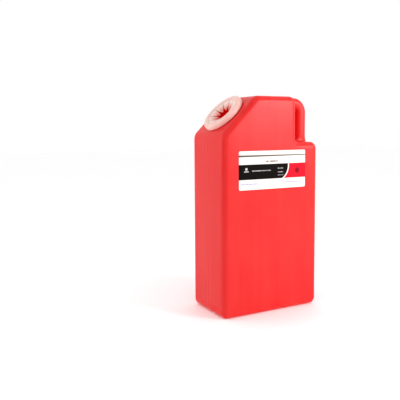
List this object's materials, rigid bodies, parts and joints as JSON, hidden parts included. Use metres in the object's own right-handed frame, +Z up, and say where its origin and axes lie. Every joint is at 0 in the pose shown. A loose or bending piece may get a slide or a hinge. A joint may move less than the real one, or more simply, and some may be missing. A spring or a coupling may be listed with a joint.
{
  "type": "sharps container",
  "caption": "Tall red bottle for used sharps, with a slanted corner mouth, white collar, inward-bending petal insert and moulded side grip.",
  "frame": {"origin": "middle of the base, on the floor", "axes": "+Z up, front face and label at -Y, mouth at the upper -X corner, grip at +X"},
  "size_m": [0.2314, 0.1297, 0.44],
  "materials": {
    "bottle_red": "red blow-moulded polyethylene, satin, faint vertical draw lines",
    "seal_grey": "soft grey foam rubber",
    "collar_white": "milky white polypropylene, smooth",
    "petal_white": "thin milky polyethylene that lets the red below show through",
    "label_print": "white film label with a black band and a crimson block, no lettering"
  },
  "bodies": {
    "bottle": {"body_shell": "bottle_red", "neck_seal": "seal_grey", "collar": "collar_white", "insert_ring": "petal_white", "front_label": "label_print"},
    "petal_01": {"petal_01": "petal_white"},
    "petal_02": {"petal_02": "petal_white"},
    "petal_03": {"petal_03": "petal_white"},
    "petal_04": {"petal_04": "petal_white"},
    "petal_05": {"petal_05": "petal_white"},
    "petal_06": {"petal_06": "petal_white"},
    "petal_07": {"petal_07": "petal_white"},
    "petal_08": {"petal_08": "petal_white"},
    "petal_09": {"petal_09": "petal_white"},
    "petal_10": {"petal_10": "petal_white"}
  },
  "joints": [
    {"name": "petal_hinge_01", "type": "hinge", "parent": "bottle", "child": "petal_01", "pos_m": [-0.05874, -0.00542, 0.42922], "axis": [-0.1228, -0.9848, -0.1228], "range_deg": [0, 50], "stiffness_Nm_per_rad": 0.02},
    {"name": "petal_hinge_02", "type": "hinge", "parent": "bottle", "child": "petal_02", "pos_m": [-0.06064, 0.01368, 0.42732], "axis": [0.31, -0.8988, 0.31], "range_deg": [0, 50], "stiffness_Nm_per_rad": 0.02},
    {"name": "petal_hinge_03", "type": "hinge", "parent": "bottle", "child": "petal_03", "pos_m": [-0.07011, 0.02755, 0.41785], "axis": [0.6243, -0.4695, 0.6243], "range_deg": [0, 50], "stiffness_Nm_per_rad": 0.02},
    {"name": "petal_hinge_04", "type": "hinge", "parent": "bottle", "child": "petal_04", "pos_m": [-0.08354, 0.0309, 0.40442], "axis": [0.7002, 0.1392, 0.7002], "range_deg": [0, 50], "stiffness_Nm_per_rad": 0.02},
    {"name": "petal_hinge_05", "type": "hinge", "parent": "bottle", "child": "petal_05", "pos_m": [-0.09579, 0.02244, 0.39216], "axis": [0.5087, 0.6947, 0.5087], "range_deg": [0, 50], "stiffness_Nm_per_rad": 0.02},
    {"name": "petal_hinge_06", "type": "hinge", "parent": "bottle", "child": "petal_06", "pos_m": [-0.10219, 0.00542, 0.38576], "axis": [0.1228, 0.9848, 0.1228], "range_deg": [0, 50], "stiffness_Nm_per_rad": 0.02},
    {"name": "petal_hinge_07", "type": "hinge", "parent": "bottle", "child": "petal_07", "pos_m": [-0.10029, -0.01368, 0.38766], "axis": [-0.31, 0.8988, -0.31], "range_deg": [0, 50], "stiffness_Nm_per_rad": 0.02},
    {"name": "petal_hinge_08", "type": "hinge", "parent": "bottle", "child": "petal_08", "pos_m": [-0.09082, -0.02755, 0.39713], "axis": [-0.6243, 0.4695, -0.6243], "range_deg": [0, 50], "stiffness_Nm_per_rad": 0.02},
    {"name": "petal_hinge_09", "type": "hinge", "parent": "bottle", "child": "petal_09", "pos_m": [-0.07739, -0.0309, 0.41056], "axis": [-0.7002, -0.1392, -0.7002], "range_deg": [0, 50], "stiffness_Nm_per_rad": 0.02},
    {"name": "petal_hinge_10", "type": "hinge", "parent": "bottle", "child": "petal_10", "pos_m": [-0.06514, -0.02244, 0.42282], "axis": [-0.5087, -0.6947, -0.5087], "range_deg": [0, 50], "stiffness_Nm_per_rad": 0.02}
  ]
}
